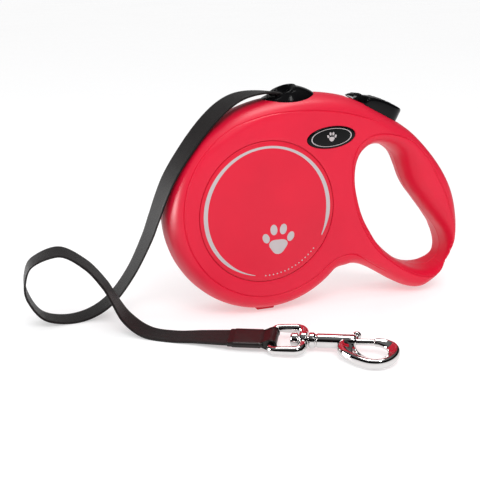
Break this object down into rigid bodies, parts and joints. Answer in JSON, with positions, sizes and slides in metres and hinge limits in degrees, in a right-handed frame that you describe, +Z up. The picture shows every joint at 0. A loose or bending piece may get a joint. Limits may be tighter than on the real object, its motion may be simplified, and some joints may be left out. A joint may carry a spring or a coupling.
{
  "type": "retractable leash",
  "caption": "Retractable tape leash with a looped handle, round spring-reel housing, thumb brake, sleeve and a chromed swivel snap hook.",
  "frame": {"origin": "on the surface the leash stands on, under the middle of the housing", "axes": "+X along the housing towards the handle, -Y out of the front face, +Z up"},
  "size_m": [0.3002, 0.1535, 0.1473],
  "materials": {
    "red_plastic": "satin moulded",
    "black_plastic": "high gloss",
    "white_plastic": "natural acetal",
    "steel": "plain",
    "black_webbing": "fine woven tape",
    "brown_leather": "smooth coated",
    "chrome": "mirror plated"
  },
  "bodies": {
    "housing": {"front_shell": "red_plastic", "rear_shell": "red_plastic", "front_disc": "red_plastic", "rear_disc": "red_plastic", "front_badge": "black_plastic", "rear_badge": "black_plastic", "tape_outlet": "black_plastic", "button_spring": "steel", "pawl_pin": "steel", "pawl_spring": "steel", "main_spring": "steel", "axle": "steel", "reel_washers": "white_plastic", "inner_tape": "black_webbing", "free_tape": "black_webbing", "housing_screws": "steel", "tape_sleeve": "brown_leather", "tape_end_loop": "black_webbing"},
    "reel": {"reel_hub": "white_plastic", "reel_flange": "white_plastic", "spring_cassette": "steel", "wound_tape": "black_webbing"},
    "button": {"brake_button": "black_plastic"},
    "lock": {"lock_slider": "black_plastic"},
    "pawl": {"brake_pawl": "white_plastic"},
    "eye": {"swivel_eye": "chrome"},
    "hook": {"snap_hook": "chrome", "trigger_spring": "steel"},
    "bolt": {"trigger_bolt": "chrome"}
  },
  "joints": [
    {"name": "reel_spin", "type": "hinge", "parent": "housing", "child": "reel", "pos_m": [-0.043, 0, 0.069], "axis": [0, -1, 0], "range_deg": [-420, 6120]},
    {"name": "brake_press", "type": "slide", "parent": "housing", "child": "button", "axis": [-0.4602, 0, -0.8878], "range_m": [0, 0.003], "stiffness_N_per_m": 1200, "springref_m": -0.001},
    {"name": "lock_slide", "type": "slide", "parent": "housing", "child": "lock", "axis": [-0.8878, 0, 0.4602], "range_m": [0, 0.0035]},
    {"name": "brake_pawl", "type": "hinge", "parent": "housing", "child": "pawl", "pos_m": [0.04, 0, 0.117], "axis": [0, -1, 0], "range_deg": [0, 11.2]},
    {"name": "eye_pivot", "type": "hinge", "parent": "housing", "child": "eye", "pos_m": [-0.06243, -0.0725, 0.00593], "axis": [-0.4903, -0.8574, -0.1564], "range_deg": [-55, 70]},
    {"name": "swivel_spin", "type": "hinge", "parent": "eye", "child": "hook", "pos_m": [-0.04598, -0.082, 0.00642], "axis": [0.8657, -0.4998, 0.0262], "continuous": true},
    {"name": "bolt_slide", "type": "slide", "parent": "hook", "child": "bolt", "axis": [-0.8657, 0.4998, -0.0262], "range_m": [0, 0.008], "stiffness_N_per_m": 250, "springref_m": -0.002}
  ],
  "couplings": [
    {"joint": "brake_pawl", "follows": "brake_press", "rad_per_m": 63.995}
  ]
}
